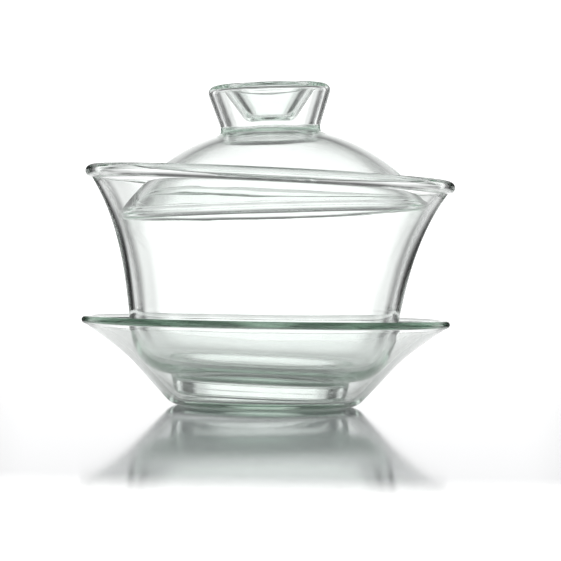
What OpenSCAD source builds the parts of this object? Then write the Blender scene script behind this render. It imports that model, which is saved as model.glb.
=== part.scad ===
// Gaiwan: a lidded tea bowl on its saucer, all three in clear blown glass.
// Every wall is a skin of even thickness laid along a curve (its middle line), closed by a
// round fire-polished bead at its free edge, and spun about the piece's own axis.
// Origin: centre of the saucer's base, on the table. +Z up, +X to the right, +Y to the back.

/* [Saucer] */
// Radius over the saucer's rim
saucer_r = 49.9; // [49:0.1:52]
// Height of the rim's centre line above the table
saucer_rim_z = 22.7; // [22:0.1:23.5]
// Radius of the flat base
saucer_base_r = 24.7; // [24.5:0.1:25.5]
// Thickness of the wall
saucer_wall = 1.9; // [1.6:0.1:2]
// Thickness of the floor
saucer_floor = 2.25; // [2:0.05:2.25]
// Radius of the bead round the rim
saucer_bead = 1.15; // [1.05:0.05:1.3]

/* [Cup] */
// Radius over the lip
cup_r = 50.1; // [49.6:0.1:50.6]
// Height of the lip's centre line above the foot
cup_lip_h = 58.2; // [57.8:0.1:58.8]
// Radius of the wall's middle line where the belly turns into the wall
cup_belly_r = 35; // [34.5:0.1:35.1]
// Height of that place above the foot
cup_belly_h = 16.4; // [16:0.1:17]
// Thickness of the wall
cup_wall = 1.8; // [1.5:0.1:1.9]
// Thickness of the floor
cup_floor = 3.3; // [2.8:0.1:3.5]
// Radius of the bead round the lip
cup_bead = 1.75; // [1.4:0.05:1.8]

/* [Cup foot] */
// Outer radius of the foot ring where it stands
foot_r = 23.6; // [22:0.1:23.8]
// Height of the foot ring up to the underside of the floor
foot_h = 5.05; // [4.8:0.05:5.2]
// Thickness of the foot ring
foot_wall = 2.1; // [1.8:0.1:2.4]

/* [Lid] */
// Radius over the lid's edge
lid_r = 42; // [41.5:0.1:42.2]
// Outer radius of the spherical dome
dome_r = 49.75; // [49:0.05:50.5]
// Height of the dome's crown above the lid's edge
dome_h = 22.9; // [22.5:0.1:23.2]
// Thickness of the dome
lid_wall = 1.9; // [1.6:0.1:2]
// Radius of the bead round the edge
lid_bead = 1.4; // [1.1:0.05:1.5]

/* [Lid knob] */
// Outer radius of the neck where it meets the dome
neck_r = 13.5; // [12.5:0.1:14]
// Outer radius of the flared top, to the corner before it is rounded
knob_r = 17; // [16:0.1:17.5]
// Height of the knob's top above the lid's edge
knob_top_h = 34.1; // [33:0.1:35]
// Radius of the dimple's flat bottom, to the corner of its middle line
dimple_r = 6; // [5:0.1:6.5]
// Depth of the dimple below the knob's top
dimple_depth = 8.4; // [7:0.1:8.5]
// Thickness of the knob's glass
knob_wall = 1.5; // [1.2:0.1:1.6]

/* [Resting place] */
// How far the cup's foot stands off the middle of the saucer
cup_shift = -1.3; // [-1.5:0.1:-1.1]
// Height of the middle of the cup's foot above the table
cup_z = 3.1; // [3.1:0.05:3.3]
// Lean of the cup, towards the right
cup_tilt = 1.9; // [1.8:0.1:2]
// Sideways place of the middle of the lid's edge
lid_x = 1.5; // [1.4:0.1:1.6]
// Height of the middle of the lid's edge above the table
lid_z = 52.9; // [52.8:0.1:53.3]
// Lean of the lid, towards the left
lid_tilt = -2.7; // [-2.8:0.1:-2.6]

/* [Hidden] */
$fn = 96;
STEPS = 16;                 // points along each curved stretch of a middle line
GLASS = [0.80, 0.90, 0.86, 0.45];

// ---- curves ----

// Points of a cubic curve from p[0] to p[3], pulled towards p[1] and p[2]
function curve(p, n = STEPS) = [for (i = [0 : n]) let (t = i / n, s = 1 - t)
    s * s * s * p[0] + 3 * s * s * t * p[1] + 3 * s * t * t * p[2] + t * t * t * p[3]];

// Direction from a to b, of length 1
function way(a, b) = (b - a) / norm(b - a);

// Points of the arc of radius r that rounds the corner at b between a and c
function rounded_corner(a, b, c, r, n = 8) =
    let (u = way(b, a), v = way(b, c),
         half = acos(u * v) / 2,
         centre = b + way([0, 0], u + v) * r / sin(half),
         from = b + u * r / tan(half) - centre,
         turn = (180 - 2 * half) * sign(u[1] * v[0] - u[0] * v[1]))
    [for (i = [0 : n]) let (q = turn * i / n)
        centre + [from[0] * cos(q) - from[1] * sin(q), from[0] * sin(q) + from[1] * cos(q)]];

// Unit vector across a path at point i, to the left of its direction; a path that starts or
// ends on the axis is level there
function across(path, i) =
    let (d = way(path[max(i - 1, 0)], path[min(i + 1, len(path) - 1)]))
    path[i][0] > 0 ? [-d[1], d[0]] : [0, i == 0 ? 1 : -1];

// Outline of a skin along a path: thickness t0 up to point j, t1 from point k on, and a round
// bead of radius r about its last point, or a square end where r is 0
function skin(path, t0, t1, j = 0, k = 1, r = 0) =
    let (last = len(path) - 1,
         half = [for (i = [0 : last]) (t0 + (t1 - t0) * max(0, min(1, (i - j) / (k - j)))) / 2],
         end = r > 0 ? last - 1 : last,
         n = across(path, last),
         d = [n[1], -n[0]],
         reach = r > 0 ? 180 - asin(half[last] / r) : 0)
    concat([for (i = [0 : end]) path[i] + across(path, i) * half[i]],
           r > 0 ? [for (j = [0 : STEPS]) let (q = reach * (1 - 2 * j / STEPS))
                    path[last] + (d * cos(q) + n * sin(q)) * r] : [],
           [for (i = [end : -1 : 0]) path[i] - across(path, i) * half[i]]);

// Wall of revolution along a path
module spun_glass(path, t0, t1, j = 0, k = 1, r = 0) {
    rotate_extrude() polygon(skin(path, t0, t1, j, k, r));
}

// ---- middle lines, each in its own piece's frame: [radius, height] ----

saucer_rise = 46;           // slope of the saucer's wall where it leaves the base
saucer_corner = [saucer_base_r, saucer_floor / 2];
saucer_flat = [saucer_base_r - 2, saucer_floor / 2];       // the base is flat this far out
saucer_mid = concat(
    [[0, saucer_floor / 2], saucer_flat],
    rounded_corner(saucer_flat, saucer_corner,
                   saucer_corner + [cos(saucer_rise), sin(saucer_rise)], 4),
    curve([[saucer_base_r + 1.5, 2.7],
           [saucer_base_r + 10.7, 12.3],
           [saucer_r - 15.4, saucer_rim_z - 9.7],
           [saucer_r - saucer_bead, saucer_rim_z]]));

floor_mid_h = foot_h + cup_floor / 2;
belly = curve([[foot_r - 1, floor_mid_h],
               [cup_belly_r - 4, floor_mid_h - 0.2],
               [cup_belly_r - 1.5, cup_belly_h - 7],
               [cup_belly_r, cup_belly_h]]);
cup_mid = concat(
    [[0, floor_mid_h]],
    [for (i = [0 : len(belly) - 2]) belly[i]],
    curve([[cup_belly_r, cup_belly_h],
           [cup_belly_r + 2, cup_belly_h + 14.4],
           [cup_r - 10.8, cup_lip_h - 12.6],
           [cup_r - cup_bead, cup_lip_h]]));

foot_mid_r = foot_r - foot_wall / 2;
foot_mid = [[foot_mid_r + 0.6, foot_h + 1],
            [foot_mid_r + 0.3, foot_h / 2 + 0.5],
            [foot_mid_r, foot_wall / 2]];

dome_mid_r = dome_r - lid_wall / 2;
dome_drop = dome_r - dome_h;            // how far the dome's centre lies below the edge
dome_end = asin((lid_r - lid_bead) / dome_mid_r);
dome_mid = [for (i = [0 : 2 * STEPS]) let (a = dome_end * i / (2 * STEPS))
    [dome_mid_r * sin(a), dome_mid_r * cos(a) - dome_drop]];

knob_mid = let (half = knob_wall / 2,
                base = [neck_r - half - 0.1, dome_h - 2],
                waist = [neck_r - half, dome_h + 0.2],
                brim = [knob_r - half, knob_top_h - half],
                shoulder = [knob_r - 5.1, knob_top_h - half],
                bottom = [dimple_r, knob_top_h - dimple_depth - half],
                centre = [0, knob_top_h - dimple_depth - half])
    concat([base],
           rounded_corner(base, waist, brim, 6),
           rounded_corner(waist, brim, shoulder, 1.2),
           rounded_corner(brim, shoulder, bottom, 1.6),
           rounded_corner(shoulder, bottom, centre, 2.2),
           [centre]);

// ---- places ----

module cup_place() {
    translate([cup_shift, 0, cup_z]) rotate([0, cup_tilt, 0]) children();
}

module lid_place() {
    translate([lid_x, 0, lid_z]) rotate([0, lid_tilt, 0]) children();
}

// ---- pieces in their own frames ----

module bowl_glass() {
    spun_glass(cup_mid, cup_floor, cup_wall, 0, len(belly), cup_bead);
}

module dome_glass() {
    spun_glass(dome_mid, lid_wall, lid_wall, r = lid_bead);
}

// ---- sub-parts ----

// Blown dish with a flat base and a flared rim
module saucer() {
    color(GLASS) spun_glass(saucer_mid, saucer_floor, saucer_wall, 2, 10, saucer_bead);
}

// Flared bowl with a thick floor and a heavy lip
module cup_bowl() {
    color(GLASS) cup_place() bowl_glass();
}

// Ring fused under the bowl's floor
module cup_foot() {
    color(GLASS) cup_place() difference() {
        spun_glass(foot_mid, foot_wall, foot_wall, r = foot_wall / 2);
        bowl_glass();
    }
}

// Spherical dome that hangs in the cup's flare
module lid_dome() {
    color(GLASS) lid_place() dome_glass();
}

// Hollow flared knob with a dimple in its top, fused on the dome
module lid_knob() {
    color(GLASS) lid_place() difference() {
        spun_glass(knob_mid, knob_wall, knob_wall);
        dome_glass();
    }
}

saucer();
cup_bowl();
cup_foot();
lid_dome();
lid_knob();
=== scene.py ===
import math

import bmesh
import bpy
import numpy as np
from mathutils import Matrix


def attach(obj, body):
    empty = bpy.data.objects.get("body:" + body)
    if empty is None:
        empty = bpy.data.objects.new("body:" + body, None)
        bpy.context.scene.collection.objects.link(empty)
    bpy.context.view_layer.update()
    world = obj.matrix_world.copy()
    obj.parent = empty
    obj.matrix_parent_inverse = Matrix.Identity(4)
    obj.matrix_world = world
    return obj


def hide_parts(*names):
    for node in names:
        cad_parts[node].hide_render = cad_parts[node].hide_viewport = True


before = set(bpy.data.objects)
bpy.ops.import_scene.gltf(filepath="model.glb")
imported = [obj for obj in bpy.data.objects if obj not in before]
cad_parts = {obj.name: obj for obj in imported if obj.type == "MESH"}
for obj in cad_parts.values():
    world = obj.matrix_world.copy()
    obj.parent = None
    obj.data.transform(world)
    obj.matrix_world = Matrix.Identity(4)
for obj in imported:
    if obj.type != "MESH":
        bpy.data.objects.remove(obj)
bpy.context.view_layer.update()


# ---- Camera ----
# A long lens a little above the table, level with the middle of the cup and square to its lean,
# so that the rims close up to thin lines and the walls of the glass are seen edge on.

MM = 0.001
CAMERA_DISTANCE = 0.72
CAMERA_HEIGHT = 0.0385
CAMERA_ASIDE = 0.0038
CAMERA_PITCH = math.radians(-0.36)
CAMERA_ROLL = math.radians(0.9)
CAMERA_LENS = 170.5

camera_data = bpy.data.cameras.new("camera")
camera_data.lens = CAMERA_LENS
camera_data.clip_start = 0.05
camera_data.clip_end = 60
camera = bpy.data.objects.new("camera", camera_data)
camera.matrix_world = (
    Matrix.Translation((CAMERA_ASIDE, -CAMERA_DISTANCE, CAMERA_HEIGHT))
    @ Matrix.Rotation(math.pi / 2 + CAMERA_PITCH, 4, "X")
    @ Matrix.Rotation(CAMERA_ROLL, 4, "Z")
)
bpy.context.scene.collection.objects.link(camera)
bpy.context.scene.camera = camera
bpy.context.scene.view_settings.view_transform = "Standard"
# light that enters a rim runs far along inside the wall before it leaves
bpy.context.scene.cycles.max_bounces = 96
bpy.context.scene.cycles.glossy_bounces = 64
bpy.context.scene.cycles.transmission_bounces = 48


# ---- Saucer ----
# A dish of clear borosilicate glass, blown to an even skin over a flat base, flared, and
# fire-polished to a round bead at the rim. The cup stands loose in it.


def arc(centre, radius, start, stop, steps=24):
    """Points of an arc in a wall's outline, between two angles in degrees."""
    turns = np.radians(np.linspace(start, stop, steps))
    return [np.array(centre) + radius * np.array([math.cos(a), math.sin(a)]) for a in turns]


def curve(p0, p1, p2, p3, steps=48):
    """Points of a cubic curve from p0 to p3, pulled towards p1 and p2."""
    p0, p1, p2, p3 = (np.array(p, float) for p in (p0, p1, p2, p3))
    line = []
    for t in np.linspace(0, 1, steps):
        s = 1 - t
        line.append(s**3 * p0 + 3 * s * s * t * p1 + 3 * s * t * t * p2 + t**3 * p3)
    return line


def bend(*corners):
    """Points of a line through (radius, height, rounding) corners, each with its own rounding."""
    line = []
    for i, (x, y, radius) in enumerate(corners):
        here = np.array([x, y], float)
        if radius == 0:
            line.append(here)
            continue
        back = np.array(corners[i - 1][:2]) - here
        ahead = np.array(corners[i + 1][:2]) - here
        back /= np.linalg.norm(back)
        ahead /= np.linalg.norm(ahead)
        half = math.acos(np.clip(back @ ahead, -1, 1)) / 2
        inward = (back + ahead) / np.linalg.norm(back + ahead)
        centre = here + inward * radius / math.sin(half)
        start = here + back * radius / math.tan(half) - centre
        turn = (math.pi - 2 * half) * np.sign(back[1] * ahead[0] - back[0] * ahead[1])
        for q in np.linspace(0, turn, 12):
            spin = np.array([[math.cos(q), -math.sin(q)], [math.sin(q), math.cos(q)]])
            line.append(centre + spin @ start)
    return line


def sides(path, thick_start, thick_end, reach):
    """The two faces of a wall whose middle line is path: right-hand side first, then left-hand.
    Its thickness goes from thick_start to thick_end over the first reach of its points."""
    path = np.array(path)
    along = np.gradient(path, axis=0)
    along /= np.linalg.norm(along, axis=1)[:, None]
    across = np.stack([-along[:, 1], along[:, 0]], 1)
    across[path[:, 0] == 0] = (0, 1)
    grade = np.clip(np.arange(len(path)) / reach, 0, 1)[:, None]
    half = (thick_start + (thick_end - thick_start) * grade) / 2
    return path - across * half, path + across * half


def beaded(path, thick_start, thick_end, reach, bead):
    """Outline of a wall that ends in a round bead: out along its right side, round, and back."""
    right, left = sides(path, thick_start, thick_end, reach)
    end = np.array(path[-1])
    heading = end - path[-2]
    aim = math.degrees(math.atan2(heading[1], heading[0]))
    swing = 180 - math.degrees(math.asin(thick_end / 2 / bead))
    keep = np.linalg.norm(np.array(path) - end, axis=1) > bead
    return [*right[keep], *arc(end, bead, aim - swing, aim + swing, 40), *left[keep][::-1]]


def fire_polish(outline, melt=0.3, step=0.1, turn=6.0, longest=1.3):
    """Softens an outline's creases as a flame does, over about melt millimetres, and keeps only
    the points that its shape needs: one every turn degrees, and one every longest millimetres."""
    line = np.array(outline)
    run = np.concatenate([[0], np.cumsum(np.linalg.norm(np.diff(line, axis=0), axis=1))])
    line, run = line[np.diff(run, prepend=-1) > 1e-6], run[np.diff(run, prepend=-1) > 1e-6]
    places = np.linspace(0, run[-1], int(run[-1] / step))
    line = np.stack([np.interp(places, run, line[:, k]) for k in (0, 1)], 1)
    width = int(4 * melt / step)
    weight = np.exp(-0.5 * (np.arange(-width, width + 1) * step / melt) ** 2)
    weight /= weight.sum()
    mirror = np.array([-1, 1])  # the outline goes on past the axis as its own mirror image
    padded = np.concatenate([line[width:0:-1] * mirror, line, line[-2 : -width - 2 : -1] * mirror])
    line = np.stack([np.convolve(padded[:, k], weight, "valid") for k in (0, 1)], 1)
    line[[0, -1], 0] = 0
    kept = [0]
    aims = np.degrees(np.unwrap(np.arctan2(*np.diff(line, axis=0).T[::-1])))
    last_aim = aims[0]
    for i in range(1, len(line) - 1):
        if abs(aims[i] - last_aim) > turn or (i - kept[-1]) * step > longest:
            kept.append(i)
            last_aim = aims[i]
    return line[[*kept, len(line) - 1]]


class Wire:
    """A node's output. Arithmetic on it adds Math nodes to its tree."""

    def __init__(self, bench, socket):
        self.bench, self.socket = bench, socket

    def math(self, operation, *values):
        return self.bench.node("ShaderNodeMath", {"operation": operation}, dict(enumerate(values)))

    def __add__(self, other):
        return self.math("ADD", self, other)

    def __sub__(self, other):
        return self.math("SUBTRACT", self, other)

    def __rsub__(self, other):
        return self.math("SUBTRACT", other, self)

    def __mul__(self, other):
        return self.math("MULTIPLY", self, other)

    def __truediv__(self, other):
        return self.math("DIVIDE", self, other)

    def __rtruediv__(self, other):
        return self.math("DIVIDE", other, self)

    __radd__, __rmul__ = __add__, __mul__


class Bench:
    """Adds nodes to one tree: a node's type, its settings, then its sockets' values or wires."""

    def __init__(self, tree):
        self.tree = tree

    def add(self, kind, settings=None, sockets=None):
        node = self.tree.nodes.new(kind)
        for name, value in (settings or {}).items():
            setattr(node, name, value)
        for key, value in (sockets or {}).items():
            if isinstance(value, Wire):
                self.tree.links.new(value.socket, node.inputs[key])
            else:
                node.inputs[key].default_value = value
        return node

    def node(self, kind, settings=None, sockets=None, out=0):
        return Wire(self, self.add(kind, settings, sockets).outputs[out])


def spinning_tree():
    """Geometry nodes that spin a wall's outline round its axis into a closed skin of glass, with
    the slow unevenness of blown work, and stand it in its place."""
    tree = bpy.data.node_groups.new("spun_glass", "GeometryNodeTree")
    tree.is_modifier = True
    for name, kind, low, high in (
        ("Outline", "NodeSocketGeometry", None, None),
        ("Turns", "NodeSocketInt", 24, 512),
        ("Wave Height", "NodeSocketFloat", 0, 0.001),
        ("Wave Length", "NodeSocketFloat", 0.001, 0.1),
        ("Seed", "NodeSocketFloat", 0, 100),
        ("Lean", "NodeSocketFloat", -1, 1),
        ("Place", "NodeSocketVector", None, None),
        ("Glass", "NodeSocketMaterial", None, None),
    ):
        socket = tree.interface.new_socket(name, in_out="INPUT", socket_type=kind)
        if low is not None:
            socket.min_value, socket.max_value = low, high
    tree.interface.new_socket("Skin", in_out="OUTPUT", socket_type="NodeSocketGeometry")
    bench = Bench(tree)
    given = bench.add("NodeGroupInput")
    inputs = {s.name: Wire(bench, s) for s in given.outputs if s.name}
    count = bench.node("GeometryNodeAttributeDomainSize", None, {0: inputs["Outline"]})
    rows = inputs["Turns"] + 1
    grid = bench.node("GeometryNodeMeshGrid", None, {"Vertices X": count, "Vertices Y": rows})
    index = bench.node("GeometryNodeInputIndex")
    column = index.math("FLOOR", (index + 0.5) / rows)
    turn = (index - column * rows) / inputs["Turns"] * (2 * math.pi)

    def sampled(kind, value):
        return bench.node(
            "GeometryNodeSampleIndex",
            {"data_type": kind},
            {"Geometry": inputs["Outline"], "Value": value, "Index": column},
        )

    place = sampled("FLOAT_VECTOR", bench.node("GeometryNodeInputPosition"))
    split = bench.add("ShaderNodeSeparateXYZ", None, {0: place})
    radius, height = Wire(bench, split.outputs["X"]), Wire(bench, split.outputs["Z"])
    spun = bench.node(
        "ShaderNodeCombineXYZ",
        None,
        {"X": radius * turn.math("COSINE", turn), "Y": radius * turn.math("SINE", turn), "Z": height},
    )
    skin = bench.node("GeometryNodeSetPosition", None, {"Geometry": grid, "Position": spun})
    # face runs from 0 on the outline's first side to 1 on its second, so that each waves alone
    face = bench.node("GeometryNodeInputNamedAttribute", {"data_type": "FLOAT"}, {"Name": "face"})
    skin = bench.node(
        "GeometryNodeStoreNamedAttribute",
        {"data_type": "FLOAT", "domain": "POINT"},
        {"Geometry": skin, "Name": "face", "Value": sampled("FLOAT", face)},
    )
    skin = bench.node("GeometryNodeMergeByDistance", None, {"Geometry": skin, "Distance": 1e-6})
    position = bench.node("GeometryNodeInputPosition")
    scaled = bench.node(
        "ShaderNodeVectorMath",
        {"operation": "SCALE"},
        {0: position, "Scale": 1.0 / inputs["Wave Length"]},
    )
    wave = bench.node(
        "ShaderNodeTexNoise",
        {"noise_dimensions": "4D"},
        {"Vector": scaled, "W": inputs["Seed"] + face * 9.0, "Scale": 1.0, "Detail": 1.0},
    )
    push = bench.node(
        "ShaderNodeVectorMath",
        {"operation": "SCALE"},
        {
            0: bench.node("GeometryNodeInputNormal"),
            "Scale": (wave - 0.5) * 2.0 * inputs["Wave Height"],
        },
    )
    skin = bench.node("GeometryNodeSetPosition", None, {"Geometry": skin, "Offset": push})
    skin = bench.node("GeometryNodeRemoveAttribute", None, {"Geometry": skin, "Name": "face"})
    lean = bench.node("ShaderNodeCombineXYZ", None, {"Y": inputs["Lean"]})
    skin = bench.node(
        "GeometryNodeTransform",
        None,
        {"Geometry": skin, "Translation": inputs["Place"], "Rotation": lean},
    )
    skin = bench.node("GeometryNodeSetShadeSmooth", None, {"Geometry": skin})
    skin = bench.node("GeometryNodeRealizeInstances", None, {"Geometry": skin})
    skin = bench.node("GeometryNodeSetMaterial", None, {"Geometry": skin, "Material": inputs["Glass"]})
    bench.add("NodeGroupOutput", None, {0: skin})
    return tree


BLEND_POINTS = 20  # points of an outline over which one side's waves turn into the other's


def spin(name, outline, tree, sizes):
    """A mesh of glass spun from an outline, given in millimetres from one end on the axis to the
    other. sizes are the tree's named inputs."""
    mesh = bpy.data.meshes.new(name)
    points = [(r * MM, 0, h * MM) for r, h in outline]
    mesh.from_pydata(points, [(i, i + 1) for i in range(len(points) - 1)], [])
    tip = int(np.argmax(outline[:, 0]))
    face = mesh.attributes.new("face", "FLOAT", "POINT")
    past_tip = (np.arange(len(points)) - tip) / BLEND_POINTS
    face.data.foreach_set("value", np.clip(past_tip + 0.5, 0, 1))
    blank = bpy.data.objects.new(name + "_outline", mesh)
    bpy.context.scene.collection.objects.link(blank)
    modifier = blank.modifiers.new("spin", "NODES")
    modifier.node_group = tree
    for item in tree.interface.items_tree:
        if item.item_type == "SOCKET" and item.in_out == "INPUT" and item.name in sizes:
            modifier[item.identifier] = sizes[item.name]
    evaluated = blank.evaluated_get(bpy.context.evaluated_depsgraph_get())
    skin = bpy.data.meshes.new_from_object(evaluated)
    skin.name = name
    bpy.data.objects.remove(blank)
    solid = bmesh.new()
    solid.from_mesh(skin)
    if solid.calc_volume(signed=True) < 0:
        skin.flip_normals()
    solid.free()
    return skin


def piece_of(name, mesh, body, *nodes):
    """A finished piece: it rides on its body and stands for its CAD nodes."""
    piece = bpy.data.objects.new(name, mesh)
    bpy.context.scene.collection.objects.link(piece)
    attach(piece, body)
    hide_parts(*nodes)
    return piece


def clear_glass():
    """Water-clear borosilicate glass, green-grey where light has far to go through it."""
    material = bpy.data.materials.new("clear_glass")
    material.use_nodes = True
    bench = Bench(material.node_tree)
    material.node_tree.nodes.clear()
    where = bench.node("ShaderNodeTexCoord", out="Object")
    # cords: faint rings left where the glass was turned in the flame
    rings = bench.node("ShaderNodeMapping", None, {"Vector": where, "Scale": (40, 40, 420)})
    cords = bench.node("ShaderNodeTexNoise", None, {"Vector": rings, "Scale": 1.0, "Detail": 2.0})
    bump = bench.node(
        "ShaderNodeBump", None, {"Strength": 0.35, "Distance": 0.00002, "Height": cords}
    )
    haze = bench.node("ShaderNodeTexNoise", None, {"Vector": where, "Scale": 90.0, "Detail": 3.0})
    surface = bench.node(
        "ShaderNodeBsdfPrincipled",
        None,
        {
            "Base Color": (0.99, 1.0, 0.995, 1),
            "Roughness": haze * 0.012,
            "IOR": 1.47,
            "Transmission Weight": 1.0,
            "Normal": bump,
        },
    )
    depth = bench.node(
        "ShaderNodeVolumeAbsorption", None, {"Color": (0.45, 0.68, 0.54, 1), "Density": 15.0}
    )
    bench.add("ShaderNodeOutputMaterial", None, {"Surface": surface, "Volume": depth})
    return material


GLASS = clear_glass()
SPUN_GLASS = spinning_tree()
TURNS = 192

RIM_R = 49.9
RIM_Z = 22.7
RIM_BEAD = 1.15
SAUCER_WALL = 1.9
SAUCER_FLOOR = 2.25
SAUCER_BASE_R = 24.7
SAUCER_RISE = math.radians(46)

saucer_line = [
    *bend(
        (0, SAUCER_FLOOR / 2, 0),
        (SAUCER_BASE_R, SAUCER_FLOOR / 2, 4),
        (
            SAUCER_BASE_R + math.cos(SAUCER_RISE),
            SAUCER_FLOOR / 2 + math.sin(SAUCER_RISE),
            0,
        ),
    )[:-1],
    *curve(
        (SAUCER_BASE_R + 1.5, 2.7),
        (SAUCER_BASE_R + 10.7, 12.3),
        (RIM_R - 15.4, RIM_Z - 9.7),
        (RIM_R - RIM_BEAD, RIM_Z),
    ),
]
saucer_outline = fire_polish(beaded(saucer_line, SAUCER_FLOOR, SAUCER_WALL, 14, RIM_BEAD))
saucer = piece_of(
    "saucer_glass",
    spin(
        "saucer_glass",
        saucer_outline,
        SPUN_GLASS,
        {
            "Turns": TURNS,
            "Wave Height": 0.03 * MM,
            "Wave Length": 16 * MM,
            "Seed": 3.0,
            "Place": (0, 0, 0.02 * MM),
            "Glass": GLASS,
        },
    ),
    "saucer",
    "saucer",
)


# ---- Cup ----
# A flared bowl with a thick floor, a belly, and a heavy lip, on a short foot ring that is
# fused to its underside. It leans a little, with one edge of its foot up the saucer's corner.

LIP_R = 50.1
LIP_H = 58.2
LIP_BEAD = 1.75
CUP_WALL = 1.8
CUP_FLOOR = 3.3
BELLY_R = 35.0
BELLY_H = 16.4
FOOT_R = 23.6
FOOT_H = 5.05
FOOT_WALL = 2.1
FOOT_FLARE = 0.6
CUP_LEAN = math.radians(1.9)
CUP_PLACE = (-1.3 * MM, 0, 3.1 * MM)

floor_mid = FOOT_H + CUP_FLOOR / 2
belly_line = curve(
    (FOOT_R - 1, floor_mid),
    (BELLY_R - 4, floor_mid - 0.2),
    (BELLY_R - 1.5, BELLY_H - 7),
    (BELLY_R, BELLY_H),
)
cup_line = [
    np.array([0, floor_mid]),
    *belly_line[:-1],
    *curve(
        (BELLY_R, BELLY_H),
        (BELLY_R + 2, BELLY_H + 14.4),
        (LIP_R - 10.8, LIP_H - 12.6),
        (LIP_R - LIP_BEAD, LIP_H),
    ),
]
bowl_outline = np.array(beaded(cup_line, CUP_FLOOR, CUP_WALL, len(belly_line), LIP_BEAD))
foot_bead = FOOT_WALL / 2
foot_outline = bend(
    (0, FOOT_H, 0),
    (FOOT_R - FOOT_WALL + FOOT_FLARE, FOOT_H, 1.2),
    (FOOT_R - FOOT_WALL, foot_bead, 0),
)
foot_outline += arc((FOOT_R - foot_bead, foot_bead), foot_bead, 180, 360)
past_foot = int(np.argmax(bowl_outline[:, 0] > FOOT_R + 4 * FOOT_FLARE))
foot_outline += bend(
    (FOOT_R, foot_bead, 0), (FOOT_R + FOOT_FLARE, FOOT_H, 1.3), (*bowl_outline[past_foot], 0)
)
cup_outline = fire_polish([*foot_outline, *bowl_outline[past_foot + 1 :]])
cup = piece_of(
    "cup_glass",
    spin(
        "cup_glass",
        cup_outline,
        SPUN_GLASS,
        {
            "Turns": TURNS,
            "Wave Height": 0.04 * MM,
            "Wave Length": 20 * MM,
            "Seed": 11.0,
            "Lean": CUP_LEAN,
            "Place": CUP_PLACE,
            "Glass": GLASS,
        },
    ),
    "cup",
    "cup_bowl",
    "cup_foot",
)


# ---- Lid ----
# A shallow dome with a beaded edge that hangs in the cup's flare, and a hollow flared knob with
# a dimple in its top, fused to the crown so that the air inside the knob is sealed in.

LID_R = 42.0
LID_BEAD = 1.4
LID_WALL = 1.9
DOME_R = 49.75
DOME_H = 22.9
NECK_R = 13.5
KNOB_R = 17.0
KNOB_H = 34.1
KNOB_WALL = 1.5
NECK_WELD = 1.0
DIMPLE_R = 6.0
DIMPLE_DEPTH = 8.4
LID_LEAN = math.radians(-2.7)
LID_PLACE = (1.5 * MM, 0, 52.9 * MM)

dome_mid_r = DOME_R - LID_WALL / 2
dome_drop = DOME_R - DOME_H
dome_reach = math.degrees(math.asin((LID_R - LID_BEAD) / dome_mid_r))
dome_line = arc((0, -dome_drop), dome_mid_r, 90, 90 - dome_reach, 120)
dome_outline = np.array(beaded(dome_line, LID_WALL, LID_WALL, 1, LID_BEAD))

half_wall = KNOB_WALL / 2
knob_line = bend(
    (NECK_R - half_wall - 0.1, DOME_H - 2, 0),
    (NECK_R - half_wall, DOME_H + 0.2, 6),
    (KNOB_R - half_wall, KNOB_H - half_wall, 1.2),
    (KNOB_R - 5.1, KNOB_H - half_wall, 1.6),
    (DIMPLE_R, KNOB_H - DIMPLE_DEPTH - half_wall, 2.2),
    (0, KNOB_H - DIMPLE_DEPTH - half_wall, 0),
)
knob_outside, knob_inside = sides(knob_line, KNOB_WALL, KNOB_WALL, 1)
knob_outside[-1] = (0, KNOB_H - DIMPLE_DEPTH)
knob_inside[-1] = (0, KNOB_H - DIMPLE_DEPTH - KNOB_WALL)


def dome_height(radius):
    """Height of the dome's outer face above the lid's edge at a radius."""
    return math.sqrt(DOME_R**2 - radius**2) - dome_drop


inner_half = dome_outline[: len(dome_outline) // 2]
outer_half = dome_outline[len(dome_outline) // 2 :]
outside_neck = [p for p in outer_half if p[0] > NECK_R + 2 * NECK_WELD or p[1] < 0]
lid_outline = fire_polish(
    [
        *inner_half,
        *outside_neck[:-1],
        *bend(
            (*outside_neck[-1], 0),
            (NECK_R, dome_height(NECK_R), NECK_WELD),
            (*knob_outside[2], 0),
        ),
        *knob_outside[3:],
    ]
)
crown_reach = NECK_R - KNOB_WALL - 1.6
hollow_crown = [(r, dome_height(r)) for r in np.linspace(0, crown_reach, 12)]
knob_hollow = fire_polish(
    [
        *knob_inside[:2:-1],
        *bend(
            (*knob_inside[2], 0),
            (NECK_R - KNOB_WALL, dome_height(NECK_R - KNOB_WALL), 0.8),
            (*hollow_crown[-1], 0),
        ),
        *hollow_crown[-2::-1],
    ],
    melt=0.2,
)
lid_sizes = {
    "Turns": TURNS,
    "Wave Height": 0.03 * MM,
    "Wave Length": 18 * MM,
    "Seed": 23.0,
    "Lean": LID_LEAN,
    "Place": LID_PLACE,
    "Glass": GLASS,
}
lid_mesh = spin("lid_glass", lid_outline, SPUN_GLASS, lid_sizes)
hollow_mesh = spin("knob_hollow", knob_hollow, SPUN_GLASS, lid_sizes)
hollow_mesh.flip_normals()
shell = bmesh.new()
shell.from_mesh(lid_mesh)
shell.from_mesh(hollow_mesh)
shell.to_mesh(lid_mesh)
shell.free()
lid = piece_of("lid_glass", lid_mesh, "lid", "lid_dome", "lid_knob")


# ---- Table and light ----
# A pale glossy table that fades into a white backdrop. Eight soft light panels stand all round
# with dark gaps between them, which the edges of the clear glass gather into dark outlines.

TABLE_R = 0.40
TABLE_FADE = (0.235, 0.295)
TABLE_TONE = (0.8, 0.8, 0.8, 1)
TABLE_PAINTED_SHADE = (0.26, 0.27, 0.29, 1)  # painted shade: the dark tone the camera sees on the table from very low in place of its white, so that there mostly its mirroring shows
PANELS = 8
PANEL_CORE = 0.45
PANEL = 0.90
GAP = 0.03
SKY = 0.75
ZENITH = 0.12
BACKDROP = 1.35
FAR_FLOOR = 0.85
SOFT_LIGHT = 1.25


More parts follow.
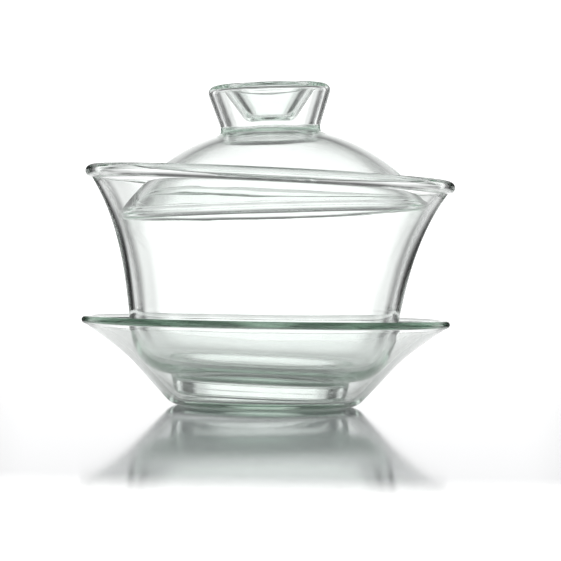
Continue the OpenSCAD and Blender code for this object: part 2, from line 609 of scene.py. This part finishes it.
def ramp(value, low, high):
    """0 at low, 1 at high, with a soft step between. low may be the larger one."""
    return value.bench.node(
        "ShaderNodeMapRange",
        {"interpolation_type": "SMOOTHSTEP"},
        {"Value": value, "From Min": low, "From Max": high},
    )


table_surface = bpy.data.materials.new("white_table")
table_surface.use_nodes = True
table_surface.node_tree.nodes.clear()
bench = Bench(table_surface.node_tree)
spot = bench.node("ShaderNodeTexCoord", out="Object")
from_middle = bench.node("ShaderNodeVectorMath", {"operation": "LENGTH"}, {0: spot}, out="Value")
looked_at = bench.node("ShaderNodeLightPath", out="Is Camera Ray")
# painted shade: for camera rays that skim the table, its colour turns from the pale tone to a dark one
painted_shade_mask = ramp(bench.node("ShaderNodeLayerWeight", None, {"Blend": 0.5}, out="Facing"), 0.72, 0.9)
tone_with_painted_shade = bench.node(
    "ShaderNodeMix",
    {"data_type": "RGBA"},
    {0: looked_at * painted_shade_mask, 6: TABLE_TONE, 7: TABLE_PAINTED_SHADE},
    out=2,
)
surface = bench.node(
    "ShaderNodeBsdfPrincipled",
    None,
    {
        "Base Color": tone_with_painted_shade,
        "Roughness": 0.07,
        "IOR": 1.6,
    },
)
beyond = bench.node("ShaderNodeBsdfTransparent")
fading = bench.node(
    "ShaderNodeMixShader", None, {0: ramp(from_middle, *TABLE_FADE), 1: surface, 2: beyond}
)
bench.add("ShaderNodeOutputMaterial", None, {"Surface": fading})
disc = bmesh.new()
bmesh.ops.create_circle(disc, cap_ends=True, segments=96, radius=TABLE_R)
table_mesh = bpy.data.meshes.new("table")
disc.to_mesh(table_mesh)
disc.free()
table_mesh.materials.append(table_surface)
table = bpy.data.objects.new("table", table_mesh)
bpy.context.scene.collection.objects.link(table)

world = bpy.data.worlds.new("studio")
bpy.context.scene.world = world
world.use_nodes = True
world.node_tree.nodes.clear()
bench = Bench(world.node_tree)
heading = bench.node("ShaderNodeTexCoord", out="Generated")
toward = bench.add("ShaderNodeSeparateXYZ", None, {0: heading})
east, north, up = (Wire(bench, toward.outputs[k]) for k in "XYZ")
bearing = east.math("ARCTAN2", east, north)
facing = bearing.math("COSINE", bearing * PANELS)  # 1 at the middle of a panel, -1 between two
panels = ramp(facing, -0.2, 0.35) * (PANEL - GAP) + ramp(facing, 0.45, 0.75) * PANEL_CORE + GAP
sky = ramp(up, 0.55, 0.3) * (SKY - ZENITH) + ZENITH
above = ramp(up, 0.14, 0.34)
below = ramp(up, -0.1, -0.2)
glow = panels * (1 - above) + above * sky
glow = glow * (1 - below) + below * FAR_FLOOR
light_path = bench.add("ShaderNodeLightPath")
seen = Wire(bench, light_path.outputs["Is Camera Ray"])
scatterings = Wire(bench, light_path.outputs["Diffuse Depth"])
scattered = scatterings.math("GREATER_THAN", scatterings, 0.5)
backdrop = ramp(up, -0.34, -0.12) * (BACKDROP - FAR_FLOOR) + FAR_FLOOR
strength = glow * (1 - scattered) + scattered * SOFT_LIGHT
strength = strength * (1 - seen) + seen * backdrop
white = {"Color": (1, 1, 1, 1), "Strength": strength}
background = bench.node("ShaderNodeBackground", None, white)
bench.add("ShaderNodeOutputWorld", None, {"Surface": background})
